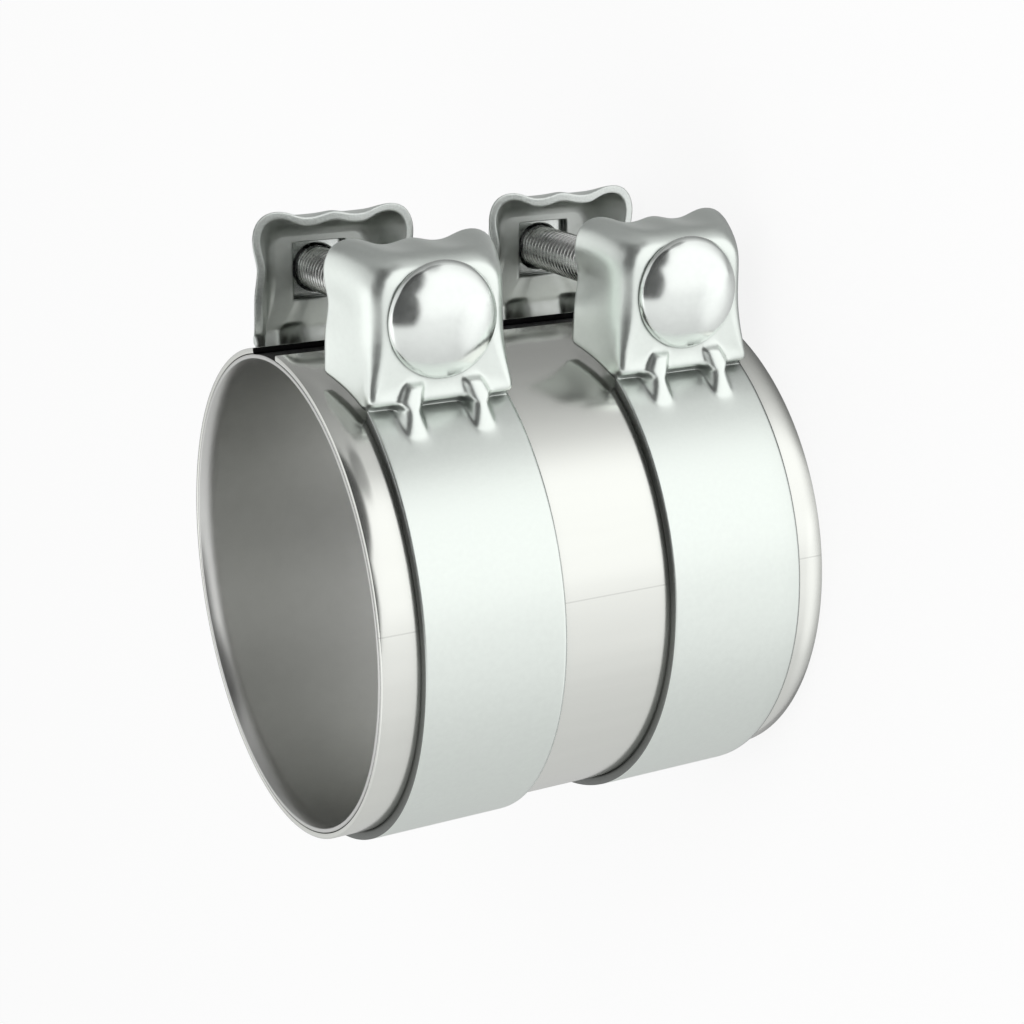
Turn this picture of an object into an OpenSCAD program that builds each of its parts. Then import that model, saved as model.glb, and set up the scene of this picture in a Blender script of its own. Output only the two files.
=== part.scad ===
// Double band connector for an exhaust pipe: a split sleeve over a closed liner, drawn tight by
// two band clamps. It stands on its lower end, the bore runs along Z, and the origin is the
// centre of the bore at that end. The clamp ears point along +X and the bolts lie along Y, with
// their heads at -Y and the nuts at +Y.

/* [Pipe] */
// Diameter of the bore, which is that of the pipe
bore_d = 101.6; // [90:0.2:115]
// Length of liner and sleeve
length = 104; // [100:0.5:130]
// Wall of the inner liner
liner_t = 0.9; // [0.7:0.1:1.2]
// Wall of the split outer sleeve
sleeve_t = 1.2; // [0.9:0.1:1.5]
// Gap between two nested sheets
sheet_gap = 0.12; // [0.1:0.01:0.3]
// Angle of the slit edge on the bolt heads' side, from the ears' middle plane
slit_head_angle = 3; // [1:0.5:8]
// Angle of the slit edge on the nuts' side
slit_nut_angle = 11; // [4:0.5:14]

/* [Bands] */
// Width of a band
band_w = 31.4; // [28:0.1:34]
// Thickness of the band strip
band_t = 2; // [1.5:0.1:2.4]
// Distance of the lower band from the lower end of the sleeve
rear_inset = 7.3; // [5:0.1:10]
// Distance of the upper band from the upper end of the sleeve
front_inset = 8.3; // [5:0.1:10]

/* [Ears] */
// Distance of an ear's outer face from the ears' middle plane
face_y = 32; // [30:0.5:34]
// Depth of the drawn box at the bolt's head, from its outer face to its rim
ear_depth = 14; // [13:0.5:17]
// Depth of the box at the nut
nut_ear_depth = 11; // [9.5:0.5:13]
// Height of the bolt axis above the sleeve
bolt_rise = 10.6; // [9.5:0.1:12]
// Height of the top wall above the bolt axis
top_rise = 13; // [12:0.5:15]
// Width of the square hole for the bolt's neck
hole_w = 12.6; // [12:0.1:13.6]
// Radius of the rounded edge between the face and its walls
face_r = 6; // [4:0.5:6.5]
// Radius of the box's upper corners
corner_r = 7.5; // [7:0.5:9]
// How far the side walls lean out at the rim
lean = 3.6; // [0:0.2:4.4]
// How far the puckered upper corners stand out further
horn = 4; // [0:0.2:5]
// Height of the wave in the middle of the top wall
wave = 1.2; // [0:0.1:2]
// Depth of the dent in each side wall below the corner
pinch = 1.2; // [0:0.1:1.8]
// Radius of the lip at the foot of the face
lip_r = 1.6; // [1:0.1:2]
// How far the foot of the face is turned out
kick = 0.8; // [0:0.1:1]
// How far the box spreads over the band's edges at its foot
spread = 0.8; // [0:0.1:1.2]
// Distance of the two gusset ribs from the band's middle
rib_w = 7.5; // [6.5:0.1:8.5]
// Half of a rib's width
rib_half = 2.4; // [2:0.1:2.6]
// Height on the face at which a rib begins, above the crease at its foot
rib_rise = 4.8; // [3:0.1:6]
// Angle round the band over which a rib runs out
rib_sweep = 9; // [6:0.5:12]

/* [Bolts and nuts] */
// Thread diameter
bolt_d = 10; // [9:0.1:10.6]
// Length under the head
bolt_l = 80; // [78:1:90]
// Diameter of the cup head
head_d = 23.6; // [22:0.2:24.6]
// Height of the cup head
head_h = 5.4; // [4.6:0.1:6]
// Height of the straight rim of the head
head_rim = 1; // [0.6:0.1:1.4]
// Length of the square neck
neck_l = 5.2; // [4.6:0.1:6]
// Clearance between neck and hole on each side
neck_play = 0.4; // [0.3:0.05:0.6]
// Clearance between the bolt and the nut's bore, on the radius
thread_play = 0.05; // [0.02:0.01:0.1]
// Height of the nut with its flange
nut_h = 10; // [9:0.5:12]
// Width of the nut across its flats
nut_af = 15; // [14:0.5:16]
// Diameter of the nut's flange
flange_d = 21.8; // [20:0.2:23]

/* [Hidden] */

liner_r = bore_d / 2 + liner_t;
sleeve_in = liner_r + sheet_gap;
sleeve_r = sleeve_in + sleeve_t;
band_in = sleeve_r + sheet_gap;
band_r = band_in + band_t;
bolt_x = sleeve_r + bolt_rise;
top_x = bolt_x + top_rise;
half_w = band_w / 2;
half_hole = hole_w / 2;
rear_z = rear_inset + half_w;
front_z = length - front_inset - half_w;

// Mesh of an ear. Its columns run round the face: up the left wall, over the top, down the right
// wall and back along the foot. Its rows run from the square hole out to the rim.
side_n = 7;
arc_n = 4;
top_n = 8;
wall_n = 2 * side_n + 2 * arc_n + top_n;
rib_steps = [-1, -0.75, -0.4, 0, 0.4, 0.75, 1];
foot_w = concat([half_w, (half_w + rib_w + rib_half) / 2],
                [for (s = rib_steps) rib_w - s * rib_half],
                [(rib_w - rib_half) / 2, 0, -(rib_w - rib_half) / 2],
                [for (s = rib_steps) -rib_w - s * rib_half],
                [-(half_w + rib_w + rib_half) / 2, -half_w]);
foot_n = len(foot_w) - 1;
ring_n = wall_n + foot_n;
soft = 0.8;
face_mix = [0, 0.4, 0.65, 0.85];
face_n = len(face_mix);
lip_deep = [0, 0.175, 0.5, 1] * band_t;
closed_n = face_n + len(lip_deep);
crease = lip_deep[3];
wall_out = [1.5, 2.15, 3, 4.2] * band_t;
wall_in = [2.2, 2.7, 3.4, 4.3] * band_t;
wall_far = [0.8, 0.9, 1] * ear_depth;
deep_out = concat(lip_deep, wall_out, wall_far);
deep_in = concat([1, 1.12, 1.4, 1.8] * band_t, wall_in, wall_far);
rim_n = len(wall_out) + len(wall_far);
crease_x = arc_x(crease);
lip_x = crease_x + 0.35 * band_t;
// Reach of the dents and swellings of the drawn walls
lean_from = 1.5 * band_t;
horn_reach = corner_r / 1.5;
wave_reach = half_w / 5;
pinch_reach = 4.5;
pinch_x = bolt_x + top_rise / 4;
spread_reach = 5;
turn_reach = 1.4 * lip_r;
// A rib's cross-section: the power of its cosine, and how much narrower it is inside
rib_power = 0.7;
rib_inset = 0.4;
fade_n = 6;
fade_from = asin((face_y - crease) / band_r);
fade_to = fade_from + rib_sweep;
ring_steps = 60;

function smooth(t) = let (c = min(1, max(0, t))) c * c * (3 - 2 * c);
function bell(t) = exp(-t * t);
function arc_x(deep) = sqrt(pow(band_r, 2) - pow(face_y - deep, 2));
function fillet(r, deep) = deep < r ? soft * (r - sqrt(r * r - pow(r - deep, 2))) : 0;

// A column's outward direction and its place on the box's outline, whose foot is at x = low
function wall_place(i, low) =
    i > wall_n / 2 ? let (m = wall_place(wall_n - i, low)) [-m[0], m[1], -m[2], m[3]]
    : i <= side_n ? [-half_w, low + (top_x - corner_r - low) * i / side_n, -1, 0]
    : i <= side_n + arc_n ? let (a = 90 * (i - side_n) / arc_n)
        [-half_w + corner_r * (1 - cos(a)), top_x - corner_r * (1 - sin(a)), -cos(a), sin(a)]
    : [(half_w - corner_r) * (2 * (i - side_n - arc_n) / top_n - 1), top_x, 0, 1];

// How far the drawn walls swell or sink along their own direction
function pucker(p, deep) =
    let (far = norm([half_w - abs(p[0]), top_x - p[1]]),
         out = max(0, deep - lean_from) / (ear_depth - lean_from),
         side = lean * pow(out, 1.3) - pinch * bell((p[1] - pinch_x) / pinch_reach) * smooth(out))
    horn * bell(far / horn_reach) * smooth((deep - 1) / (0.8 * ear_depth))
    + wave * p[3] * bell(p[0] / wave_reach) * smooth(1.2 * out)
    + abs(p[2]) * side;

// Radius of the face's edge, which sharpens towards the foot
function edge_r(x) = lip_r + (face_r - lip_r) * smooth((x - crease_x) / bolt_rise / 1.5);

// Places are [along the bore, out from the middle plane, up the ear]
function wall_point(i, row, inner) =
    let (foot = i == 0 || i == wall_n,
         deep = !inner ? deep_out[row] : foot ? max(deep_out[row], (1.6 + 0.12 * (row - 3)) * band_t)
                                              : deep_in[row],
         sole = inner && row >= 3 ? 0.76 * foot_path(2, true) + 0.24 * foot_path(3, true)
                                  : foot_path(min(row, 3), inner),
         low = row < 3 || (foot && row == 3) ? sole[1] : arc_x(foot && inner ? deep : max(deep, crease)),
         p = wall_place(i, low),
         r = foot ? lip_r : edge_r(p[1]),
         back = !inner ? fillet(r, deep)
                : foot ? band_t
                : band_t + fillet(max(0.5, r - band_t), deep - band_t),
         wide = foot && row == 3 ? 0 : spread * abs(p[2]) * bell((p[1] - lip_x) / spread_reach),
         out = pucker(p, deep) + wide - back)
    [p[0] + p[2] * out, foot && row <= 3 ? sole[0] : face_y - deep, p[1] + p[3] * out];

// The crest of a rib runs straight from the face down to the band, on both skins
function polar(r, a) = [r * sin(a), r * cos(a)];
rib_top = [face_y, crease_x + rib_rise];
rib_end = polar(band_r, fade_to);
rib_dir = (rib_end - rib_top) / norm(rib_end - rib_top);
rib_in = band_t * [rib_dir[1], -rib_dir[0]];
function crest(x, inner) = let (p = rib_top + (inner ? rib_in : [0, 0]))
    [p[0] + max(0, p[1] - x) * rib_dir[0] / -rib_dir[1], x];
function crest_x(step, inner) = let (t = step / fade_n, r = inner ? band_in : band_r)
    (crease_x + (inner ? rib_in[1] : 0)) * (1 - t) + r * cos(fade_to) * t;
function rib(w, inner) = let (t = abs(abs(w) - rib_w) / (rib_half - (inner ? rib_inset : 0)))
    t < 1 ? pow(cos(90 * t), rib_power) : 0;
function ribbed(w, p, top, k, inner) =
    let (q = p + (top - p) * rib(foot_w[k], inner))
    [w, q[0], q[1]];

// How far the foot of the face is turned out at a height, which is nothing under the bolt's head
function turned(x) = kick * max(0, 1.02 * bell((x - lip_x) / turn_reach) - 0.02);
function foot_path(row, inner) =
    row == 0 ? let (x = lip_x + soft * lip_r + (inner ? 1.1 * band_t : 0))
        [face_y - (inner ? band_t : 0) + turned(x), x]
    : row == 3 && inner ? polar(band_in + 0.1, asin((face_y - 1.78 * band_t) / (band_in + 0.1)))
    : row == 3 ? [face_y - crease, crease_x]
    : inner ? [face_y - (1 + 0.3 * row) * band_t, lip_x + soft * lip_r + (1.1 - 0.7 * row) * band_t]
    : let (x = lip_x + fillet(lip_r, lip_deep[row]))
        [face_y - lip_deep[row] + (3 - row) / 3 * turned(x), x];
function foot_point(k, row, inner) =
    let (p = foot_path(row, inner), x = row == 3 ? crest_x(0, inner) : p[1] - 0.1 * row)
    ribbed(foot_w[k], p, crest(x, inner), k, inner);

// The face between the square hole and its rounded edge
function hole_point(i) =
    let (side = side_n + arc_n / 2, top = top_n + arc_n)
    i <= side ? [-half_hole, bolt_x + half_hole * (2 * i / side - 1)]
    : i <= side + top ? [half_hole * (2 * (i - side) / top - 1), bolt_x + half_hole]
    : i <= wall_n ? [half_hole, bolt_x + half_hole * (2 * (wall_n - i) / side - 1)]
    : let (w = foot_w[i - wall_n], far = max(0, abs(w) - 10), squeeze = 0.55)
        [sign(w) * (squeeze * (abs(w) - far) + far / (half_w - 10) * (half_hole - 10 * squeeze)),
         bolt_x - half_hole];
function face_point(i, row, inner) =
    let (h = hole_point(i), e = edge_point(i, 0, inner), t = face_mix[row],
         flat = i > wall_n ? foot_path(0, inner)[1] : e[2],
         x = h[1] + (flat - h[1]) * t,
         w = h[0] + (e[0] - h[0]) * t,
         p = [face_y - (inner ? band_t : 0) + turned(x), x])
    i > wall_n ? ribbed(w, p, [max(p[0], crest(x, inner)[0]), x], i - wall_n, inner) : [w, p[0], x];
function edge_point(i, row, inner) =
    i <= wall_n ? wall_point(i, row, inner) : foot_point(i - wall_n, row, inner);

function fade_point(k, step, inner) =
    let (r = inner ? band_in : band_r,
         p = polar(r, fade_from + (fade_to - fade_from) * (step + 1) / fade_n),
         q = crest(crest_x(step + 1, inner), inner))
    ribbed(foot_w[k], p, norm(q) > r ? q : p, k, inner);

// Points of one skin of an ear, its closed rows first, then its walls, then its foot on the ring
function skin(inner) = concat(
    [for (row = [0 : face_n - 1], i = [0 : ring_n - 1]) face_point(i, row, inner)],
    [for (row = [0 : 3], i = [0 : ring_n - 1]) edge_point(i, row, inner)],
    [for (row = [4 : 3 + rim_n], i = [0 : wall_n]) wall_point(i, row, inner)],
    [for (step = [0 : fade_n - 1], k = [0 : foot_n]) fade_point(k, step, inner)]);
skin_n = closed_n * ring_n + rim_n * (wall_n + 1) + fade_n * (foot_n + 1);
bend_corner = foot_point(0, 3, true);
ear_points = concat(skin(false), skin(true),
                    [bend_corner, [-bend_corner[0], bend_corner[1], bend_corner[2]]]);
ear_n = len(ear_points);

function at(row, i) = row * ring_n + i % ring_n;
function wall_at(row, i) = row < closed_n ? at(row, i)
    : closed_n * ring_n + (row - closed_n) * (wall_n + 1) + i;
function fade_at(step, k) = step < 0 ? at(closed_n - 1, wall_n + k)
    : closed_n * ring_n + rim_n * (wall_n + 1) + step * (foot_n + 1) + k;
// The foot of the inner skin has corners of its own where the wall, the face and the ring meet
function bend_at(step, k) = step >= 0 ? skin_n + fade_at(step, k)
    : k == 0 ? 2 * skin_n : k == foot_n ? 2 * skin_n + 1 : skin_n + fade_at(-1, k);
function in_at(row, i) = skin_n + at(row, i);
function quad(a, b, c, d) = [[a, b, c], [a, c, d]];
// A cell between columns i and i + 1, cut so that the two halves of the ear mirror each other
function cell(i, a, b, c, d) =
    i < wall_n / 2 || i > wall_n + foot_n / 2 ? quad(a, b, c, d) : quad(b, c, d, a);
function flip(faces) = [for (f = faces) [f[2], f[1], f[0]]];

last_row = closed_n + rim_n - 1;
outer_faces = concat(
    [for (row = [0 : closed_n - 2], i = [0 : ring_n - 1]) each
        cell(i, at(row, i), at(row, i + 1), at(row + 1, i + 1), at(row + 1, i))],
    [for (row = [closed_n - 1 : last_row - 1], i = [0 : wall_n - 1]) each
        cell(i, wall_at(row, i), wall_at(row, i + 1), wall_at(row + 1, i + 1), wall_at(row + 1, i))],
    [for (step = [-1 : fade_n - 2], k = [0 : foot_n - 1]) each cell(wall_n + k,
        fade_at(step, k), fade_at(step, k + 1), fade_at(step + 1, k + 1), fade_at(step + 1, k))]);
// The inner skin's foot, where wall, face and band meet in a point at each side
function corner_cells(a, b, c, d, w, first) =
    first ? [[a, b, w], [b, c, w], [c, d, w]] : [[a, b, w], [a, w, d], [w, c, d]];
inner_faces = concat(
    [for (row = [0 : closed_n - 2], i = [0 : row < closed_n - 2 ? ring_n - 1 : wall_n - 1]) each
        cell(i, in_at(row, i), in_at(row, i + 1), in_at(row + 1, i + 1), in_at(row + 1, i))],
    [for (k = [1 : foot_n - 2]) each cell(wall_n + k, in_at(closed_n - 2, wall_n + k),
        in_at(closed_n - 2, wall_n + k + 1), bend_at(-1, k + 1), bend_at(-1, k))],
    [for (k = [0, foot_n - 1]) each corner_cells(in_at(closed_n - 2, wall_n + k),
        in_at(closed_n - 2, wall_n + k + 1), bend_at(-1, k + 1), bend_at(-1, k),
        in_at(closed_n - 1, k == 0 ? wall_n : 0), k == 0)],
    [for (row = [closed_n - 1 : last_row - 1], i = [0 : wall_n - 1]) each cell(i,
        skin_n + wall_at(row, i), skin_n + wall_at(row, i + 1),
        skin_n + wall_at(row + 1, i + 1), skin_n + wall_at(row + 1, i))],
    [for (step = [-1 : fade_n - 2], k = [0 : foot_n - 1]) each cell(wall_n + k,
        bend_at(step, k), bend_at(step, k + 1), bend_at(step + 1, k + 1), bend_at(step + 1, k))]);
edge_faces = concat(
    [for (i = [0 : ring_n - 1]) each quad(at(0, i + 1), at(0, i), in_at(0, i), in_at(0, i + 1))],
    [for (i = [0 : wall_n - 1]) each quad(wall_at(last_row, i), wall_at(last_row, i + 1),
        skin_n + wall_at(last_row, i + 1), skin_n + wall_at(last_row, i))],
    [for (row = [closed_n - 1 : last_row - 1]) each quad(wall_at(row, 0), wall_at(row + 1, 0),
        skin_n + wall_at(row + 1, 0), skin_n + wall_at(row, 0))],
    [for (row = [closed_n - 1 : last_row - 1]) each quad(wall_at(row + 1, wall_n), wall_at(row, wall_n),
        skin_n + wall_at(row, wall_n), skin_n + wall_at(row + 1, wall_n))],
    [for (step = [-1 : fade_n - 2]) each
        quad(fade_at(step, 0), fade_at(step + 1, 0), bend_at(step + 1, 0), bend_at(step, 0))],
    [for (step = [-1 : fade_n - 2]) each quad(fade_at(step + 1, foot_n), fade_at(step, foot_n),
        bend_at(step, foot_n), bend_at(step + 1, foot_n))],
    [[fade_at(-1, 0), bend_at(-1, 0), in_at(closed_n - 1, wall_n)],
     [fade_at(-1, foot_n), in_at(closed_n - 1, 0), bend_at(-1, foot_n)]]);
ear_faces = flip(concat(outer_faces, flip(inner_faces), edge_faces));

// The strip between the ears, which goes round the sleeve with two points to a row on each skin
function ring_point(n, side, r) =
    let (a = fade_to + (360 - 2 * fade_to) * n / ring_steps) [r * cos(a), r * sin(a), side * half_w];
ring_points = [for (n = [1 : ring_steps - 1], r = [band_r, band_in], side = [1, -1])
                   ring_point(n, side, r)];
function strip_at(n, skin, side) = 2 * ear_n + 4 * (n - 1) + 2 * skin + side;
// The last row of an ear's foot, as the strip meets it
function end_at(ear, k, skin) =
    ear * ear_n + (skin == 0 ? fade_at(fade_n - 1, k) : bend_at(fade_n - 1, k));
function fan(ear, skin) = let (n = ear == 0 ? 1 : ring_steps - 1)
    concat([for (k = [0 : foot_n - 1])
               [end_at(ear, k, skin), end_at(ear, k + 1, skin), strip_at(n, skin, 0)]],
           [[end_at(ear, foot_n, skin), strip_at(n, skin, 1), strip_at(n, skin, 0)]]);
function strip(skin) = [for (n = [1 : ring_steps - 2]) each
    quad(strip_at(n, skin, 0), strip_at(n, skin, 1), strip_at(n + 1, skin, 1), strip_at(n + 1, skin, 0))];
function border(side) = let (k = side * foot_n)
    concat(quad(end_at(0, k, 0), strip_at(1, 0, side), strip_at(1, 1, side), end_at(0, k, 1)),
           [for (n = [1 : ring_steps - 2]) each quad(strip_at(n, 0, side), strip_at(n + 1, 0, side),
               strip_at(n + 1, 1, side), strip_at(n, 1, side))],
           quad(strip_at(ring_steps - 1, 0, side), end_at(1, k, 0), end_at(1, k, 1),
                strip_at(ring_steps - 1, 1, side)));
// The box at the nut is less deep than the one at the bolt's head
function shallow(y) = let (from = 3 * band_t, deep = face_y - y)
    y + max(0, deep - from) * (1 - (nut_ear_depth - from) / (ear_depth - from));
band_points = concat([for (p = ear_points) [p[2], shallow(p[1]), p[0]]],
                     [for (p = ear_points) [p[2], -p[1], p[0]]], ring_points);
band_faces = concat(ear_faces, [for (f = flip(ear_faces)) f + [ear_n, ear_n, ear_n]],
                    flip(fan(0, 0)), fan(0, 1), fan(1, 0), flip(fan(1, 1)), flip(strip(0)), strip(1),
                    flip(border(0)), border(1));

module band(z) {
    color("#b9bcb4")
    translate([0, 0, z])
        polyhedron(points = band_points, faces = band_faces);
}

module inner_liner() {
    color("#8f8d89")
    difference() {
        cylinder(h = length, r = liner_r, $fn = 96);
        translate([0, 0, -1])
            cylinder(h = length + 2, d = bore_d, $fn = 96);
    }
}

module outer_sleeve() {
    reach = 2 * sleeve_r;
    color("#a9a7a2")
    difference() {
        cylinder(h = length, r = sleeve_r, $fn = 96);
        translate([0, 0, -1])
            cylinder(h = length + 2, r = sleeve_in, $fn = 96);
        translate([0, 0, -1])
            linear_extrude(height = length + 2)
                polygon([[0, 0],
                         [reach * cos(slit_head_angle), -reach * sin(slit_head_angle)],
                         [reach * cos(slit_nut_angle), reach * sin(slit_nut_angle)]]);
    }
}

// Turns a piece drawn upwards along Z so that it points along +Y on a bolt's axis
module on_bolt_axis(z, y) {
    translate([bolt_x, y, z])
        rotate([-90, 0, 0])
            children();
}

module cup_bolt(z) {
    cup = head_h - head_rim;
    cup_r = (pow(head_d / 2, 2) + pow(cup, 2)) / (2 * cup);
    neck = hole_w - 2 * neck_play;
    color("#c3c5c0")
    on_bolt_axis(z, -face_y) {
        rotate_extrude($fn = 64)
            polygon(concat([[0, 0], [head_d / 2, 0]],
                [for (n = [0 : 12]) let (a = asin(head_d / 2 / cup_r) * (1 - n / 12))
                    [cup_r * sin(a), -head_rim - cup + cup_r * (1 - cos(a))]]));
        translate([-neck / 2, -neck / 2, 0])
            cube([neck, neck, neck_l]);
        rotate_extrude($fn = 64)
            polygon([[0, 0], [bolt_d / 2, 0], [bolt_d / 2, bolt_l - 1],
                     [bolt_d / 2 - 1, bolt_l], [0, bolt_l]]);
    }
}

module flange_nut(z) {
    bore_r = bolt_d / 2 + thread_play;
    color("#c3c5c0")
    on_bolt_axis(z, face_y)
    difference() {
        union() {
            rotate_extrude($fn = 64)
                polygon([[0, 0], [flange_d / 2 - 0.4, 0], [flange_d / 2, 0.5], [flange_d / 2, 1.3],
                         [nut_af / 2, 3], [0, 3]]);
            intersection() {
                linear_extrude(height = nut_h)
                    circle(r = nut_af / 2 / cos(30), $fn = 6);
                rotate_extrude($fn = 64)
                    polygon([[0, 0], [nut_af / 2 + 2, 0], [nut_af / 2 + 2, nut_h - 1.5],
                             [nut_af / 2 - 0.6, nut_h], [0, nut_h]]);
            }
        }
        translate([0, 0, -1])
            cylinder(h = nut_h + 2, r = bore_r, $fn = 64);
    }
}

module band_front() { band(front_z); }
module band_rear() { band(rear_z); }
module bolt_front() { cup_bolt(front_z); }
module bolt_rear() { cup_bolt(rear_z); }
module nut_front() { flange_nut(front_z); }
module nut_rear() { flange_nut(rear_z); }

inner_liner();
outer_sleeve();
band_front();
band_rear();
bolt_front();
bolt_rear();
nut_front();
nut_rear();
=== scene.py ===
import math
import bmesh
import bpy
import numpy as np
from mathutils import Matrix, Vector


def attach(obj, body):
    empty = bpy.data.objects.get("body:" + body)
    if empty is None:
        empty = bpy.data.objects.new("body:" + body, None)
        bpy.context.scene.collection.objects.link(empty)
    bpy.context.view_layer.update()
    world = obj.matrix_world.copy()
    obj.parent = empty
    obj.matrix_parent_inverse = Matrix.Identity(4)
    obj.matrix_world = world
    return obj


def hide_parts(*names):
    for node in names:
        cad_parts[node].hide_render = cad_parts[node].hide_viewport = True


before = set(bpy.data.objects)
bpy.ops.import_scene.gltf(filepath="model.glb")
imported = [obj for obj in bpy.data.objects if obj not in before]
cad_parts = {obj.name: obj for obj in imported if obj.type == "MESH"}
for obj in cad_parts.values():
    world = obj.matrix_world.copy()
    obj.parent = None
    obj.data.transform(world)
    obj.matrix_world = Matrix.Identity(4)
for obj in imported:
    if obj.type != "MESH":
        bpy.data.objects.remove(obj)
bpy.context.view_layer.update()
MM = 0.001

# Sizes in millimetres, as in the part, but for the ribs, which are wider here and end in a round nose
BORE_R, LENGTH = 50.8, 104.0
LINER_T, SLEEVE_T, BAND_T, SHEET_GAP = 0.9, 1.2, 2.0, 0.12
LINER_R = BORE_R + LINER_T
SLEEVE_IN = LINER_R + SHEET_GAP
SLEEVE_R = SLEEVE_IN + SLEEVE_T
BAND_IN = SLEEVE_R + SHEET_GAP
BAND_R = BAND_IN + BAND_T
BAND_W = 31.4
HALF_W = BAND_W / 2
REAR_INSET, FRONT_INSET = 7.3, 8.3
REAR_Z, FRONT_Z = REAR_INSET + HALF_W, LENGTH - FRONT_INSET - HALF_W
SLIT_HEAD, SLIT_NUT = math.radians(3), math.radians(11)
FACE_Y, EAR_DEPTH, NUT_EAR_DEPTH = 32.0, 14.0, 11.0
BOLT_RISE, TOP_RISE = 10.6, 13.0
BOLT_X = SLEEVE_R + BOLT_RISE
TOP_X = BOLT_X + TOP_RISE
HALF_HOLE = 6.3
FACE_R, CORNER_R, LIP_R, SOFT = 6.0, 7.5, 1.6, 0.8
# How far the pressed sheet leans out, stands up at the corners, waves, is dented, turns out and spreads
LEAN, HORN, WAVE, PINCH, KICK, SPREAD = 3.6, 4.0, 1.2, 1.2, 0.8, 0.8
LEAN_FROM, HORN_REACH, WAVE_REACH = 1.5 * BAND_T, CORNER_R / 1.5, HALF_W / 5
PINCH_X, PINCH_REACH = BOLT_X + TOP_RISE / 4, 4.5
SPREAD_REACH, TURN_REACH = 5.0, 1.4 * LIP_R
# A rib's distance from the middle, half its width, its reach along the strip, and its nose
RIB_W, RIB_HALF, RIB_SWEEP = 7.5, 2.8, math.radians(9)
RIB_INSET, RIB_TALL = 0.4, 2.2
NOSE, NOSE_X, NOSE_REACH = 1.9, 49.9, 1.8


# Small helpers
def smooth(t):
    t = min(1.0, max(0.0, t))
    return t * t * (3 - 2 * t)


def bell(t):
    return math.exp(-t * t)


def link(name, mesh, body, materials, nodes):
    """A piece of the scene that rides on a body and stands in for nodes of the part."""
    obj = bpy.data.objects.new(name, mesh)
    bpy.context.scene.collection.objects.link(obj)
    for material in materials:
        mesh.materials.append(material)
    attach(obj, body)
    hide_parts(*nodes)
    return obj


def soften(obj, width, limit=math.radians(30)):
    """A small round on the edges that bend by more than the limit."""
    bevel = obj.modifiers.new("edges", "BEVEL")
    bevel.width = width * MM
    bevel.segments = 2
    bevel.limit_method = "ANGLE"
    bevel.angle_limit = limit
    return bevel


def mesh_from(name, points, faces):
    """A welded, smooth mesh from points in millimetres."""
    mesh = bpy.data.meshes.new(name)
    mesh.from_pydata([tuple(c * MM for c in p) for p in points], [], faces)
    bm = bmesh.new()
    bm.from_mesh(mesh)
    bmesh.ops.remove_doubles(bm, verts=bm.verts, dist=1e-7)
    bmesh.ops.recalc_face_normals(bm, faces=bm.faces)
    for f in bm.faces:
        f.smooth = True
    bm.to_mesh(mesh)
    bm.free()
    return mesh


def revolve(profile, steps, start=0.0, sweep=2 * math.pi, closed=True):
    """Points and faces of a profile of (radius, height) turned about Z."""
    full = abs(sweep - 2 * math.pi) < 1e-9
    rows = steps if full else steps + 1
    points, faces, m = [], [], len(profile)
    for i in range(rows):
        a = start + sweep * i / steps
        points += [(r * math.cos(a), r * math.sin(a), z) for r, z in profile]
    for i in range(steps):
        j = (i + 1) % rows
        for k in range(m if closed else m - 1):
            n = (k + 1) % m
            faces.append((i * m + k, j * m + k, j * m + n, i * m + n))
    if not full and closed:
        faces += [tuple(range(m)), tuple((rows - 1) * m + k for k in reversed(range(m)))]
    return points, faces


# The pressed band with both its ears
# An ear is drawn in rows, from the square hole over the face, the lip and the walls to the rim. A row goes
# up a side wall, over the top, down the other wall and back along the foot. "deep" is the distance from the
# face to a point behind it
def arc_x(deep):
    """Where the band's outer side lies at a depth behind the face."""
    return math.sqrt(BAND_R ** 2 - (FACE_Y - deep) ** 2)


def fillet(r, deep):
    """How far a rounded edge falls back from its wall."""
    return SOFT * (r - math.sqrt(r * r - (r - deep) ** 2)) if deep < r else 0.0


def polar(r, a):
    """A point at an angle from the middle between the ears, as distance along the bolt and height."""
    return np.array([r * math.sin(a), r * math.cos(a)])


SIDE_N, ARC_N, TOP_N = 7, 4, 8
WALL_N = 2 * SIDE_N + 2 * ARC_N + TOP_N
HOLE_SIDE_N, HOLE_TOP_N = SIDE_N + ARC_N // 2, TOP_N + ARC_N
RIB_STEPS = [-1, -0.75, -0.4, 0, 0.4, 0.75, 1]
BESIDE, BETWEEN = (HALF_W + RIB_W + RIB_HALF) / 2, (RIB_W - RIB_HALF) / 2
FOOT_W = ([HALF_W, BESIDE] + [RIB_W - s * RIB_HALF for s in RIB_STEPS] + [BETWEEN, 0, -BETWEEN]
          + [-RIB_W - s * RIB_HALF for s in RIB_STEPS] + [-BESIDE, -HALF_W])
FOOT_N = len(FOOT_W) - 1
RING_N = WALL_N + FOOT_N
FACE_MIX = [0, 0.4, 0.62, 0.7, 0.8, 0.9]
CREASE = 2.0
LIP_DEEP = [0, 0.35, 1, CREASE]
CLOSED_N = len(FACE_MIX) + len(LIP_DEEP)
FAR = [11.2, 12.6, EAR_DEPTH]
DEEP_OUT = LIP_DEEP + [3, 4.3, 6, 8.4] + FAR
DEEP_IN = [BAND_T, 2.24, 2.8, 3.6, 4.4, 5.4, 6.8, 8.6] + FAR
RIM_N = len(DEEP_OUT) - len(LIP_DEEP)
LAST = CLOSED_N + RIM_N - 1
CREASE_X = arc_x(CREASE)
LIP_X = CREASE_X + 0.35 * BAND_T
FADE_N = 6
FADE_FROM = math.asin((FACE_Y - CREASE) / BAND_R)
FADE_TO = FADE_FROM + RIB_SWEEP
RING_STEPS = 56
# Kinds of faces; the inner skin and the cut sides get colours painted darker as shade
OUTSIDE, INSIDE, SHEARED, RIM = range(4)
SHARPNESS = 0.86
RIB_TOP = np.array([FACE_Y + NOSE, NOSE_X])
RIB_END = polar(BAND_R, FADE_TO)
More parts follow.
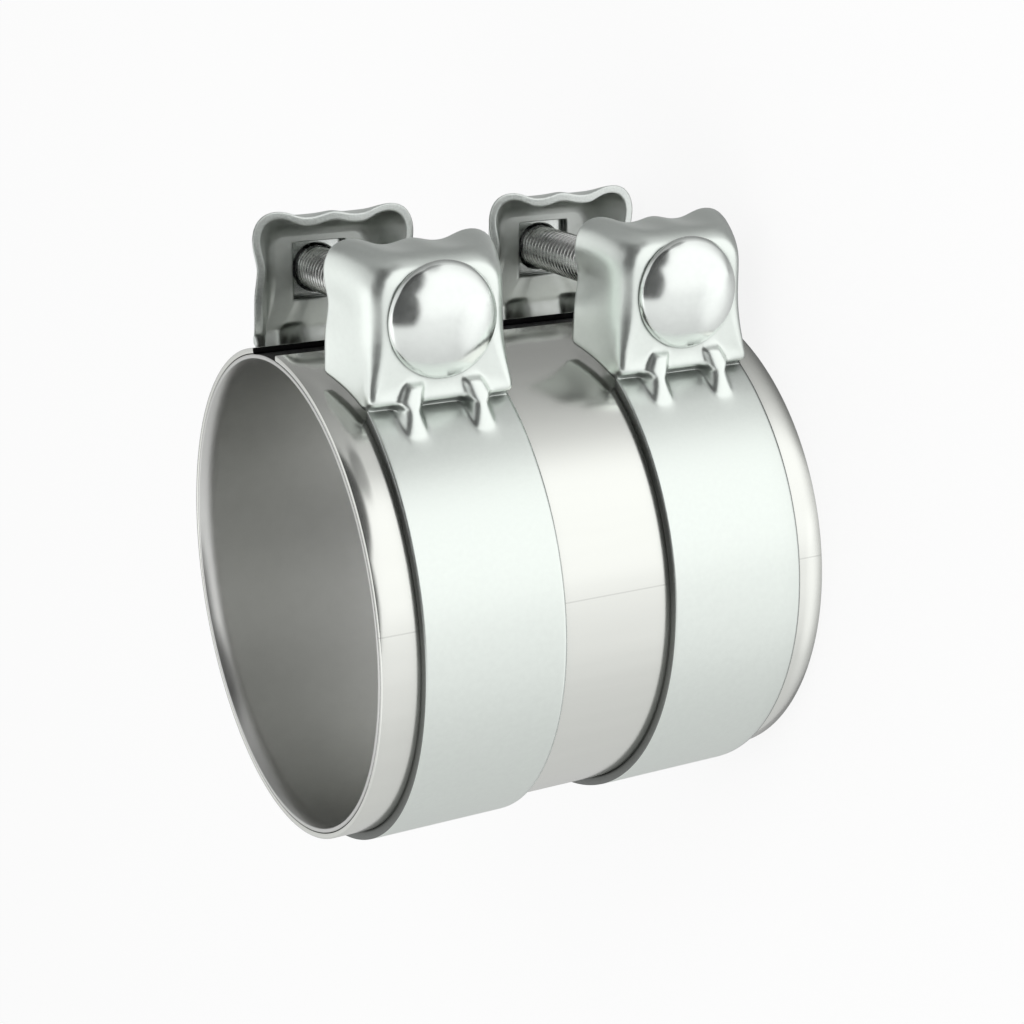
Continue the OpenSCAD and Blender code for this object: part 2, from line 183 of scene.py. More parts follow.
RIB_DIR = (RIB_END - RIB_TOP) / np.linalg.norm(RIB_END - RIB_TOP)
RIB_IN = BAND_T * np.array([RIB_DIR[1], -RIB_DIR[0]])


def crest(x, inner):
    """The top line of a rib, which ends in a round nose that stands proud of the ear's face."""
    p = RIB_TOP + (RIB_IN if inner else 0)
    t = min(1, max(0, (x - NOSE_X) / NOSE_REACH))
    down = max(0, p[1] - x)
    return np.array([p[0] - NOSE * (1 - math.sqrt(1 - t * t)) + down * RIB_DIR[0] / -RIB_DIR[1], x])


def crest_x(step, inner):
    """The height at which a rib's top line meets one step of the strip."""
    t, r = step / FADE_N, BAND_IN if inner else BAND_R
    return (CREASE_X + (RIB_IN[1] if inner else 0)) * (1 - t) + r * math.cos(FADE_TO) * t


def rib(w, high, inner):
    """The share of a rib's height at one place across the strip; the high part has steep sides."""
    t = abs(abs(w) - RIB_W) / (RIB_HALF - (RIB_INSET if inner else 0))
    return math.cos(math.pi / 2 * t) ** (0.9 - 0.44 * smooth(high / RIB_TALL)) if t < 1 else 0.0


def ribbed(w, p, top, k, inner):
    """A point of the foot, raised towards the rib's top line."""
    step = np.array(top) - np.array(p)
    q = np.array(p) + step * rib(FOOT_W[k], np.linalg.norm(step), inner)
    return (w, q[0], q[1])


def wall_place(i, low):
    """A point of the box's plain outline and the direction away from the box."""
    if i > WALL_N / 2:
        m = wall_place(WALL_N - i, low)
        return (-m[0], m[1], -m[2], m[3])
    if i <= SIDE_N:
        return (-HALF_W, low + (TOP_X - CORNER_R - low) * i / SIDE_N, -1, 0)
    if i <= SIDE_N + ARC_N:
        a = math.pi / 2 * (i - SIDE_N) / ARC_N
        return (-HALF_W + CORNER_R * (1 - math.cos(a)), TOP_X - CORNER_R * (1 - math.sin(a)),
                -math.cos(a), math.sin(a))
    return ((HALF_W - CORNER_R) * (2 * (i - SIDE_N - ARC_N) / TOP_N - 1), TOP_X, 0, 1)


def pucker(p, deep):
    """How far the drawn sheet stands out: horns at the corners, a wave on top, leaning and dented sides."""
    far = math.hypot(HALF_W - abs(p[0]), TOP_X - p[1])
    out = max(0, deep - LEAN_FROM) / (EAR_DEPTH - LEAN_FROM)
    dent = PINCH * bell((p[1] - PINCH_X) / PINCH_REACH) * smooth(out)
    return (HORN * bell(far / HORN_REACH) * smooth((deep - 1) / (0.8 * EAR_DEPTH))
            + WAVE * p[3] * bell(p[0] / WAVE_REACH) * smooth(1.2 * out)
            + abs(p[2]) * (LEAN * out ** 1.3 - dent))


def edge_r(x):
    """Radius of the edge between the face and its walls, which is sharper towards the foot."""
    return LIP_R + (FACE_R - LIP_R) * smooth((x - CREASE_X) / BOLT_RISE / 1.5)


def turned(x):
    """How far the face is turned out near its foot."""
    return KICK * max(0, 1.02 * bell((x - LIP_X) / TURN_REACH) - 0.02)


def foot_path(row, inner):
    """One row of the lip in the ear's middle, as distance along the bolt and height."""
    if row == 0:
        x = LIP_X + SOFT * LIP_R + (1.1 * BAND_T if inner else 0)
        return np.array([FACE_Y - (BAND_T if inner else 0) + turned(x), x])
    if row == 3:
        near = BAND_IN + 0.1
        return polar(near, math.asin((FACE_Y - 1.78 * BAND_T) / near)) if inner \
            else np.array([FACE_Y - CREASE, CREASE_X])
    if inner:
        return np.array([FACE_Y - (1 + 0.3 * row) * BAND_T,
                         LIP_X + SOFT * LIP_R + (1.1 - 0.7 * row) * BAND_T])
    x = LIP_X + fillet(LIP_R, LIP_DEEP[row])
    return np.array([FACE_Y - LIP_DEEP[row] + (3 - row) / 3 * turned(x), x])


def wall_point(i, row, inner):
    """A point of the lip or the walls beside and above the foot."""
    foot = i in (0, WALL_N)
    deep = DEEP_OUT[row] if not inner else max(DEEP_OUT[row], (1.6 + 0.12 * (row - 3)) * BAND_T) if foot \
        else DEEP_IN[row]
    sole = 0.76 * foot_path(2, True) + 0.24 * foot_path(3, True) if inner and row >= 3 \
        else foot_path(min(row, 3), inner)
    low = sole[1] if row < 3 or (foot and row == 3) else arc_x(deep if foot and inner else max(deep, CREASE))
    p = wall_place(i, low)
    r = LIP_R if foot else edge_r(p[1])
    back = fillet(r, deep)
    if inner:
        back = BAND_T + (0 if foot else fillet(max(0.5, r - BAND_T), deep - BAND_T))
    wide = 0 if foot and row == 3 else SPREAD * abs(p[2]) * bell((p[1] - LIP_X) / SPREAD_REACH)
    out = pucker(p, deep) + wide - back
    y = sole[0] if foot and row <= 3 else FACE_Y - deep
    return (p[0] + p[2] * out, y, p[1] + p[3] * out)


def foot_point(k, row, inner):
    """A point of the lip along the foot, where the ribs cross it."""
    p = foot_path(row, inner)
    x = crest_x(0, inner) if row == 3 else p[1] - 0.1 * row
    return ribbed(FOOT_W[k], p, crest(x, inner), k, inner)


def edge_point(i, row, inner):
    return wall_point(i, row, inner) if i <= WALL_N else foot_point(i - WALL_N, row, inner)


def hole_point(i):
    """A point on the square hole's edge, across and up."""
    if i <= HOLE_SIDE_N:
        return (-HALF_HOLE, BOLT_X + HALF_HOLE * (2 * i / HOLE_SIDE_N - 1))
    if i <= HOLE_SIDE_N + HOLE_TOP_N:
        return (HALF_HOLE * (2 * (i - HOLE_SIDE_N) / HOLE_TOP_N - 1), BOLT_X + HALF_HOLE)
    if i <= WALL_N:
        return (HALF_HOLE, BOLT_X + HALF_HOLE * (2 * (WALL_N - i) / HOLE_SIDE_N - 1))
    w, near, share = FOOT_W[i - WALL_N], 10, 0.55
    far = max(0, abs(w) - near)
    across = share * (abs(w) - far) + far / (HALF_W - near) * (HALF_HOLE - share * near)
    return (math.copysign(across, w) if w else 0.0, BOLT_X - HALF_HOLE)


def face_point(i, row, inner):
    """A point of the face, between the square hole and the lip."""
    h, e, t = hole_point(i), edge_point(i, 0, inner), FACE_MIX[row]
    flat = foot_path(0, inner)[1] if i > WALL_N else e[2]
    x = h[1] + (flat - h[1]) * t
    w = h[0] + (e[0] - h[0]) * t
    y = FACE_Y - (BAND_T if inner else 0) + turned(x)
    if i > WALL_N:
        return ribbed(w, (y, x), (max(y, crest(x, inner)[0]), x), i - WALL_N, inner)
    return (w, y, x)


def fade_point(k, step, inner):
    """A point of the strip beside the lip, over which the ribs run out."""
    r = BAND_IN if inner else BAND_R
    p = polar(r, FADE_FROM + (FADE_TO - FADE_FROM) * (step + 1) / FADE_N)
    q = crest(crest_x(step + 1, inner), inner)
    return ribbed(FOOT_W[k], p, q if np.linalg.norm(q) > r else p, k, inner)


def ear_skin(inner):
    """All points of one side of an ear's sheet."""
    lip_n = len(LIP_DEEP)
    points = [face_point(i, row, inner) for row in range(len(FACE_MIX)) for i in range(RING_N)]
    points += [edge_point(i, row, inner) for row in range(lip_n) for i in range(RING_N)]
    points += [wall_point(i, row, inner) for row in range(lip_n, lip_n + RIM_N) for i in range(WALL_N + 1)]
    points += [fade_point(k, step, inner) for step in range(FADE_N) for k in range(FOOT_N + 1)]
    return points


def at(row, i):
    """Number of a point in a closed row of the face or the lip."""
    return row * RING_N + i % RING_N


def wall_at(row, i):
    """Number of a point in an open row of the walls."""
    return at(row, i) if row < CLOSED_N else CLOSED_N * RING_N + (row - CLOSED_N) * (WALL_N + 1) + i


def fade_at(step, k):
    """Number of a point of the strip beside the lip."""
    return at(CLOSED_N - 1, WALL_N + k) if step < 0 \
        else CLOSED_N * RING_N + RIM_N * (WALL_N + 1) + step * (FOOT_N + 1) + k


def shallow(y):
    """The box at the nut is less deep than the one at the bolt's head."""
    same = 6
    return y + max(0, FACE_Y - y - same) * (1 - (NUT_EAR_DEPTH - same) / (EAR_DEPTH - same))


def band_mesh(name, z):
    """The strip with its two ears as one closed sheet, with a material index for each kind of face."""
    skins = [ear_skin(False), ear_skin(True)]
    n = len(skins[0])
    corner = foot_point(0, 3, True)
    ear = skins[0] + skins[1] + [corner, (-corner[0], corner[1], corner[2])]
    ear_n = len(ear)

    def bend_at(step, k):
        if step >= 0:
            return n + fade_at(step, k)
        return 2 * n if k == 0 else 2 * n + 1 if k == FOOT_N else n + fade_at(-1, k)

    def inner_at(row, i):
        return n + at(row, i)

    faces, kinds, hard = [], [], []

    def put(kind, *made):
        faces.extend(made)
        kinds.extend([kind] * len(made))

    def grid(f, rows, cols, kind=OUTSIDE):
        for r in rows:
            for c in cols:
                put(kind, (f(r, c), f(r, c + 1), f(r + 1, c + 1), f(r + 1, c)))

    grid(at, range(CLOSED_N - 1), range(RING_N))
    grid(wall_at, range(CLOSED_N - 1, LAST), range(WALL_N))
    grid(fade_at, range(-1, FADE_N - 1), range(FOOT_N))
    grid(inner_at, range(CLOSED_N - 2), range(RING_N), INSIDE)
    grid(inner_at, [CLOSED_N - 2], range(WALL_N), INSIDE)
    grid(lambda r, c: inner_at(CLOSED_N - 2, WALL_N + c) if r == 0 else bend_at(-1, c), [0],
         range(1, FOOT_N - 1), INSIDE)
    for k in (0, FOOT_N - 1):
        a, b = inner_at(CLOSED_N - 2, WALL_N + k), inner_at(CLOSED_N - 2, WALL_N + k + 1)
        c, d, w = bend_at(-1, k + 1), bend_at(-1, k), inner_at(CLOSED_N - 1, WALL_N if k == 0 else 0)
        put(INSIDE, *([(a, b, w), (b, c, d, w)] if k == 0 else [(a, b, w), (a, w, c, d)]))
    grid(lambda r, c: n + wall_at(r, c), range(CLOSED_N - 1, LAST), range(WALL_N), INSIDE)
    grid(bend_at, range(-1, FADE_N - 1), range(FOOT_N), INSIDE)

    def edge(f, g, count, kind):
        for c in range(count):
            put(kind, (f(c), f(c + 1), g(c + 1), g(c)))
            hard.extend([(f(c), f(c + 1)), (g(c), g(c + 1))])

    edge(lambda c: at(0, c), lambda c: inner_at(0, c), RING_N, OUTSIDE)
    edge(lambda c: wall_at(LAST, c), lambda c: n + wall_at(LAST, c), WALL_N, RIM)
    for i in (0, WALL_N):
        edge(lambda c: wall_at(CLOSED_N - 1 + c, i), lambda c: n + wall_at(CLOSED_N - 1 + c, i), RIM_N, RIM)
    for k in (0, FOOT_N):
        edge(lambda c: fade_at(c - 1, k), lambda c: bend_at(c - 1, k), FADE_N, SHEARED)
    put(SHEARED, (fade_at(-1, 0), bend_at(-1, 0), inner_at(CLOSED_N - 1, WALL_N)),
        (fade_at(-1, FOOT_N), inner_at(CLOSED_N - 1, 0), bend_at(-1, FOOT_N)))

    points = [(p[2], shallow(p[1]), z + p[0]) for p in ear] + [(p[2], -p[1], z + p[0]) for p in ear]
    faces += [tuple(v + ear_n for v in f) for f in faces]
    kinds += kinds
    hard += [(a + ear_n, b + ear_n) for a, b in hard]
    corners = (0, HOLE_SIDE_N, HOLE_SIDE_N + HOLE_TOP_N, WALL_N)
    hard += [(at(0, i) + start, inner_at(0, i) + start) for i in corners for start in (0, ear_n)]
    flat = [k for k in range(FOOT_N) if max(rib(FOOT_W[k], 0, False), rib(FOOT_W[k + 1], 0, False)) < 0.01]
    hard += [(at(CLOSED_N - 1, WALL_N + k) + start, at(CLOSED_N - 1, WALL_N + k + 1) + start) for k in flat
             for start in (0, ear_n)]

    # the strip between the ears, with as many columns as an ear's foot
    base = len(points)
    cols = FOOT_N + 1
    for s in range(1, RING_STEPS):
        a = FADE_TO + (2 * math.pi - 2 * FADE_TO) * s / RING_STEPS
        for r in (BAND_R, BAND_IN):
            points += [(r * math.cos(a), r * math.sin(a), z + w) for w in FOOT_W]

    def strip(s, skin, k):
        if s in (0, RING_STEPS):
            start = 0 if s == 0 else ear_n
            return start + (fade_at(FADE_N - 1, k) if skin == 0 else bend_at(FADE_N - 1, k))
        return base + ((s - 1) * 2 + skin) * cols + k

    for skin in (0, 1):
        grid(lambda r, c: strip(r, skin, c), range(RING_STEPS), range(FOOT_N))
    for k in (0, FOOT_N):
        edge(lambda c: strip(c, 0, k), lambda c: strip(c, 1, k), RING_STEPS, SHEARED)

    mesh = bpy.data.meshes.new(name)
    mesh.from_pydata([tuple(c * MM for c in p) for p in points], [], faces)
    mesh.update()
    bm = bmesh.new()
    bm.from_mesh(mesh)
    bm.verts.ensure_lookup_table()
    layer = bm.edges.layers.float.get("crease_edge") or bm.edges.layers.float.new("crease_edge")
    for a, b in hard:
        fold = bm.edges.get((bm.verts[a], bm.verts[b]))
        if fold is not None:
            fold[layer] = SHARPNESS
    bmesh.ops.recalc_face_normals(bm, faces=bm.faces)
    for f, kind in zip(bm.faces, kinds):
        f.smooth = True
        f.material_index = kind
    bm.to_mesh(mesh)
    bm.free()
    return mesh


# Bolts and nuts
PITCH, MAJOR, MINOR, BOLT_L = 1.5, 5.0, 4.1, 80.0
SHANK_R = MAJOR - 0.12
SHANK_FROM, THREAD_FROM = 5.0, 12.0
HEAD_R, HEAD_H, HEAD_RIM = 11.8, 5.4, 1.0
NECK_HALF, NECK_L, NECK_CUT = 5.9, 5.2, 0.6
NUT_H, NUT_FLATS, FLANGE_R, NUT_BORE = 10.0, 15.0, 10.9, 5.06
HEX_CORNER = NUT_FLATS / 2 / math.cos(math.pi / 6)


def on_axis(points, z, y):
    """Turns points drawn upwards along Z so that they point along +Y on a bolt's axis."""
    return [(BOLT_X + p[0], y + p[2], z - p[1]) for p in points]


def cup_head():
    """A low dome over a short straight rim. Its underside is left open in the middle and filled later."""
    cup, rings = HEAD_H - HEAD_RIM, 24
    cup_r = (HEAD_R ** 2 + cup ** 2) / (2 * cup)
    widest = math.asin(HEAD_R / cup_r)
    profile = [(4.0, 0.0), (HEAD_R - 0.25, 0.0), (HEAD_R, -0.22), (HEAD_R, -HEAD_RIM + 0.3)]
    for n in range(1, rings + 1):
        a = widest * (1 - n / rings) * 0.985
        profile.append((cup_r * math.sin(a) if n < rings else 0.02, -HEAD_H + cup_r * (1 - math.cos(a))))
    return revolve(profile, 96, closed=False)


def square_neck():
    """A square bar with cut corners and a small chamfer at its end."""
    full, cut = NECK_HALF, NECK_HALF - NECK_CUT
    ring = [(full, cut), (cut, full), (-cut, full), (-full, cut), (-full, -cut), (-cut, -full), (cut, -full),
            (full, -cut)]
    heights = ((-0.1, 1.0), (NECK_L - 0.4, 1.0), (NECK_L, 0.94))
    points = [(x * scale, y * scale, high) for high, scale in heights for x, y in ring]
    n = len(ring)
    faces = [(r * n + i, r * n + (i + 1) % n, r * n + n + (i + 1) % n, r * n + n + i)
             for r in range(len(heights) - 1) for i in range(n)]
    return points, faces + [tuple((len(heights) - 1) * n + i for i in range(n))]


def threaded_rod(steps=48, cells=6):
    """Points and faces of a right-hand thread, with rows that follow the helix."""
    turns = (BOLT_L - THREAD_FROM) / PITCH
    rows = int((turns + 2) * cells)
    points, faces = [], []

    def radius(turn, high):
        t = turn - math.floor(turn)
        r = MINOR + (MAJOR - MINOR) * min(1.0, max(0.0, 1.25 * (1 - abs(2 * t - 1)) - 0.06))
        r = min(r, MAJOR - max(0.0, high - (BOLT_L - 1.1)) * 0.95)
        blend = smooth((high - THREAD_FROM) / PITCH)
        return r * blend + SHANK_R * (1 - blend)

    for j in range(steps):
        a = 2 * math.pi * j / steps
        for i in range(rows + 1):
            turn = i / cells - 1
            high = min(BOLT_L, max(THREAD_FROM, THREAD_FROM + PITCH * (turn + j / steps)))
            r = radius(turn, high)
            points.append((r * math.cos(a), r * math.sin(a), high))
    for j in range(steps):
        low = j * (rows + 1)
        # the last column meets the first one a full turn higher
        following, last = (low + rows + 1, rows) if j < steps - 1 else (cells, rows - cells)
        faces += [(low + i, low + i + 1, following + i + 1, following + i) for i in range(last)]
    return points, faces


def bolt_mesh(name, z):
    """Head, neck, plain shank and thread, joined into one mesh; the thread has the second material."""
    mesh = bpy.data.meshes.new(name)
    bm = bmesh.new()

    def add(form, shade=True, kind=0):
        points, faces = form
        made = [bm.verts.new([c * MM for c in p]) for p in on_axis(points, z, -FACE_Y)]
        for f in faces:
            face = bm.faces.new([made[v] for v in f])
            face.smooth = shade
            face.material_index = kind

    add(cup_head())
    add(square_neck(), shade=False)
    add(revolve([(SHANK_R, SHANK_FROM), (SHANK_R, THREAD_FROM)], 48, closed=False))
    add(threaded_rod(), kind=1)
    bmesh.ops.remove_doubles(bm, verts=bm.verts, dist=2e-6)
    bmesh.ops.dissolve_degenerate(bm, edges=bm.edges, dist=1e-6)
    bmesh.ops.holes_fill(bm, edges=[e for e in bm.edges if e.is_boundary], sides=0)
    bmesh.ops.recalc_face_normals(bm, faces=bm.faces)
    bm.to_mesh(mesh)
    bm.free()
    return mesh


def nut_radius(kind, angle, high):
    """How far the nut's surface is from its axis."""
    hexagon = NUT_FLATS / 2 / math.cos((angle + math.pi / 6) % (math.pi / 3) - math.pi / 6)
    blunt = HEX_CORNER - 0.12
    if kind == "bore":
        return NUT_BORE
    if kind == "mouth":
        return NUT_BORE + 0.55
    if kind == "flange":
        return FLANGE_R - (0.35 if high == 0 else 0.0)
    if kind == "cone":
        return FLANGE_R - (FLANGE_R - hexagon) * smooth((high - 1.1) / 2.0)
    if kind == "hex":
        return min(hexagon, blunt)
    return min(hexagon, blunt - (high - 8.7) * 0.95)


def nut_mesh(name, z):
    """A six-sided nut on a round flange, as rings from the bore round the outside and back."""
    steps = 96
    heights = (("bore", 0.4), ("mouth", 0.0), ("flange", 0.0), ("flange", 0.35), ("flange", 1.1),
               ("cone", 1.7), ("cone", 2.4), ("hex", 3.1), ("hex", 8.6), ("top", 9.35), ("top", NUT_H),
               ("mouth", NUT_H), ("bore", NUT_H - 0.5))
    bm = bmesh.new()
    made = []
    for kind, high in heights:
        row = []
        for i in range(steps):
            a = 2 * math.pi * i / steps
            r = nut_radius(kind, a, high)
            row.append((r * math.cos(a), r * math.sin(a), high))
        made.append([bm.verts.new([c * MM for c in p]) for p in on_axis(row, z, FACE_Y)])
    for r, row in enumerate(made):
        following = made[(r + 1) % len(made)]
        for i in range(steps):
            j = (i + 1) % steps
            bm.faces.new((row[i], row[j], following[j], following[i]))
    bmesh.ops.recalc_face_normals(bm, faces=bm.faces)
    mesh = bpy.data.meshes.new(name)
    bm.to_mesh(mesh)
    bm.free()
    return mesh


# Sleeve and liner
AROUND = 192


def tube_profile(inner, outer, low, high, rows=24):
    """The cross-section of a tube's wall, with small chamfers at both ends."""
    cut = 0.16
    side = [(outer, low + cut + (high - low - 2 * cut) * k / rows) for k in range(rows + 1)]
    back = [(inner, high - cut - (high - low - 2 * cut) * k / rows) for k in range(rows + 1)]
    return ([(inner + cut, low), (outer - cut, low)] + side
            + [(outer - cut, high), (inner + cut, high)] + back)


def liner_mesh(name):
    """A closed tube, whose outer side is painted near black as shade; it is seen only through the slit."""
    mesh = mesh_from(name, *revolve(tube_profile(BORE_R, LINER_R, 0, LENGTH), AROUND))
    for face in mesh.polygons:
        face.material_index = int(math.hypot(face.center.x, face.center.y) > (LINER_R - 0.05) * MM)
    return mesh


def sleeve_mesh(name):
    """A tube slit from end to end, whose cut sides are painted dark as shade."""
    profile = tube_profile(SLEEVE_IN, SLEEVE_R, 0, LENGTH)
    mesh = mesh_from(name, *revolve(profile, AROUND, SLIT_NUT, 2 * math.pi - SLIT_NUT - SLIT_HEAD))
    for face in mesh.polygons:
        face.material_index = int(len(face.vertices) > 4)
    return mesh


# Materials
def node(tree, kind, **settings):
    """A new node with its settings."""
    made = tree.nodes.new(kind)
    for key, value in settings.items():
        setattr(made, key, value)
    return made


def math_node(tree, how, first, second):
    """One step of arithmetic on two numbers or sockets."""
    made = node(tree, "ShaderNodeMath", operation=how)
    for socket, value in zip(made.inputs, (first, second)):
        if isinstance(value, (int, float)):
            socket.default_value = value
        else:
            tree.links.new(value, socket)
    return made.outputs["Value"]


def spread_over(tree, value, start, end, to_start, to_end, kind="LINEAR"):
    """Maps a value from one span to another, held at the ends."""
    made = node(tree, "ShaderNodeMapRange", interpolation_type=kind)
    for name, number in (("From Min", start), ("From Max", end), ("To Min", to_start), ("To Max", to_end)):
        made.inputs[name].default_value = number
    tree.links.new(value, made.inputs["Value"])
    return made.outputs["Result"]


# The spans of the noise and of a corner's openness over which a metal's colour changes, the second for its
# painted shade, and the grain's depth
GRAIN = (0.3, 0.7)
PAINTED_SHADE_SPAN = (0.35, 0.75)
RELIEF = 0.2


def material(name, color, rough, spread, scale, bump=0.0, tint=0.0, stretch=(1, 1, 1), near=6.0, deep=0.5):
    """Bare metal whose colour and gloss vary with a fine grain, stretched the way the sheet was rolled, and
    whose colour carries painted shade, darkened to deep within near millimetres of a fold or a neighbour."""
    mat = bpy.data.materials.new(name)
    mat.use_nodes = True
    tree = mat.node_tree
    metal = tree.nodes["Principled BSDF"]
    metal.inputs["Metallic"].default_value = 1.0
    coord = node(tree, "ShaderNodeTexCoord")
    place = node(tree, "ShaderNodeMapping")
    place.inputs["Scale"].default_value = stretch
    noise = node(tree, "ShaderNodeTexNoise")
    noise.inputs["Scale"].default_value = scale
    noise.inputs["Detail"].default_value = 6
    tree.links.new(coord.outputs["Object"], place.inputs["Vector"])
    tree.links.new(place.outputs["Vector"], noise.inputs["Vector"])
    dark_end, pale_end = GRAIN
    gloss = spread_over(tree, noise.outputs["Fac"], dark_end, pale_end, rough - spread, rough + spread)
    tree.links.new(gloss, metal.inputs["Roughness"])
    ramp = node(tree, "ShaderNodeValToRGB", label="grain")
    dark, pale = ramp.color_ramp.elements
    dark.position = dark_end
    dark.color = (*(c * (1 - tint) for c in color), 1)
    pale.position = pale_end
    pale.color = (*color, 1)
    tree.links.new(noise.outputs["Fac"], ramp.inputs["Fac"])
    # painted shade: ambient occlusion darkens the colour in folds and beside neighbouring parts
    corner = node(tree, "ShaderNodeAmbientOcclusion", samples=6)
    corner.inputs["Distance"].default_value = near * MM
    scaled = node(tree, "ShaderNodeVectorMath", operation="SCALE", label="colour")
    tree.links.new(ramp.outputs["Color"], scaled.inputs["Vector"])
    tree.links.new(spread_over(tree, corner.outputs["AO"], *PAINTED_SHADE_SPAN, deep, 1.0), scaled.inputs["Scale"])
    tree.links.new(scaled.outputs["Vector"], metal.inputs["Base Color"])
    if bump:
        relief = node(tree, "ShaderNodeBump")
        relief.inputs["Strength"].default_value = bump
        relief.inputs["Distance"].default_value = RELIEF * MM
        tree.links.new(noise.outputs["Fac"], relief.inputs["Height"])
        tree.links.new(relief.outputs["Normal"], metal.inputs["Normal"])
    return mat


def paint_reflection_line(mat, azimuth, width, shade):
    """A fine darker straight line along the sleeve, a painted reflection of a straight edge."""
    tree = mat.node_tree
    coord = node(tree, "ShaderNodeTexCoord")
    turn = node(tree, "ShaderNodeMapping")
    turn.inputs["Rotation"].default_value = (0, 0, -math.radians(azimuth))
    split = node(tree, "ShaderNodeSeparateXYZ")
    tree.links.new(coord.outputs["Object"], turn.inputs["Vector"])
    tree.links.new(turn.outputs["Vector"], split.inputs["Vector"])
    angle = math_node(tree, "ARCTAN2", split.outputs["Y"], split.outputs["X"])
    away = math_node(tree, "ABSOLUTE", angle, 0.0)
    factor = spread_over(tree, away, 0.0, width / 2 / SLEEVE_R, shade, 1.0, "SMOOTHSTEP")
    base = tree.nodes["Principled BSDF"].inputs["Base Color"]
    marked = node(tree, "ShaderNodeVectorMath", operation="SCALE")
    tree.links.new(base.links[0].from_socket, marked.inputs["Vector"])
    tree.links.new(factor, marked.inputs["Scale"])
    tree.links.new(marked.outputs["Vector"], base)


m_band = material("satin_zinc", (0.885, 0.94, 0.895), 0.32, 0.03, 900, 0.05, 0.03, near=16.0, deep=0.3)
# the ears' inner skin is the same zinc, painted darker as shade
m_inside_shade = material("ear_inside_painted_shade", (0.68, 0.71, 0.68), 0.42, 0.05, 700, 0.05, 0.06, deep=0.4)
# the band's cut sides are painted dark as shade beside the sleeve
m_edge_shade = material("band_edge_painted_shade", (0.26, 0.27, 0.26), 0.45, 0.06, 1500, 0.10, 0.20)
m_rim = material("cut_rim", (0.82, 0.86, 0.83), 0.38, 0.08, 2200, 0.30, 0.14)
m_sleeve = material("bright_sheet", (0.885, 0.90, 0.855), 0.18, 0.02, 260, 0.0, 0.02, (1, 1, 0.06), near=4.0)
m_liner = material("liner_sheet", (0.745, 0.75, 0.73), 0.30, 0.02, 300, 0.0, 0.03)
# near black, painted shade in the slit, on the liner's outside and the sleeve's cut sides
m_shade = material("slit_painted_shade", (0.02, 0.02, 0.02), 0.60, 0.05, 300, 0.0, 0.10)
m_fast = material("bright_zinc", (0.91, 0.95, 0.92), 0.18, 0.03, 700, 0.02, 0.03, near=3.0)
m_thread = material("thread_zinc", (0.88, 0.89, 0.87), 0.26, 0.04, 700, 0.0, 0.06, near=1.5, deep=0.2)
# a painted reflection: a thin dark line along the sleeve
paint_reflection_line(m_sleeve, -81.5, 0.5, 0.82)

# The pieces
for side, z in (("front", FRONT_Z), ("rear", REAR_Z)):
    band = link(f"pressed_band_{side}", band_mesh(f"pressed_band_{side}", z), "sleeve",
                (m_band, m_inside_shade, m_edge_shade, m_rim), [f"band_{side}"])
    rounded = band.modifiers.new("round", "SUBSURF")
    rounded.levels = rounded.render_levels = 2
    rounded.use_creases = True
    link(f"cup_bolt_{side}", bolt_mesh(f"cup_bolt_{side}", z), f"bolt_{side}",
         (m_fast, m_thread), [f"bolt_{side}"])
    nut = link(f"flange_nut_{side}", nut_mesh(f"flange_nut_{side}", z), f"nut_{side}", (m_fast,),
               [f"nut_{side}"])
    soften(nut, 0.15)

liner = link("liner_sheet", liner_mesh("liner_sheet"), "sleeve", (m_liner, m_shade),
             ["inner_liner"])
sleeve = link("slit_sheet", sleeve_mesh("slit_sheet"), "sleeve", (m_sleeve, m_shade),
              ["outer_sleeve"])
for tube in (liner, sleeve):
    soften(tube, 0.1, math.radians(50)).harden_normals = True

# Floor, light and camera
CENTRE = (0.02, 0.0, 0.052)


def toward(az, el):
    """The direction at an azimuth and an elevation in degrees."""
    a, e = math.radians(az), math.radians(el)
    return (math.cos(e) * math.cos(a), math.cos(e) * math.sin(a), math.sin(e))


# The studio's brightness in the metal at each azimuth in degrees: a wide soft box between -90 and -30, a
# long fall to its left, a dim side to its right. Straight above it has one level of its own
STUDIO = ((-180, 0.62), (-140, 0.71), (-112, 0.85), (-97, 0.92), (-86, 1.06), (-60, 1.10), (-34, 1.08),
          (-20, 0.78), (-8, 0.60), (10, 0.42), (43, 0.29), (70, 0.39), (120, 0.52), (180, 0.62))
ABOVE = 0.85
# Soft patches in it: azimuth, elevation, the cosines where a patch begins and where it is full, its strength
PALE_PATCHES = ((95, 25, 0.7, 0.94, 0.16), (-170, 75, 0.89, 0.97, 0.40), (-155, -62, 0.86, 0.98, 0.12),
                (-122, -58, 0.87, 0.97, 0.17))
DARK_PATCHES = ((-77, 48, 0.845, 0.875, 1.0), (-34, 28, 0.885, 0.92, 1.0), (-22, -8, 0.965, 0.985, 0.65))
# The dark patches end at a plane that faces this way
SKYLINE = (0.95, -0.223, 0.213)


def along(tree, direction, fixed):
    """The cosine between the direction and a fixed one."""
    dot = node(tree, "ShaderNodeVectorMath", operation="DOT_PRODUCT")
    dot.inputs[1].default_value = fixed
    tree.links.new(direction, dot.inputs[0])
    return dot.outputs["Value"]


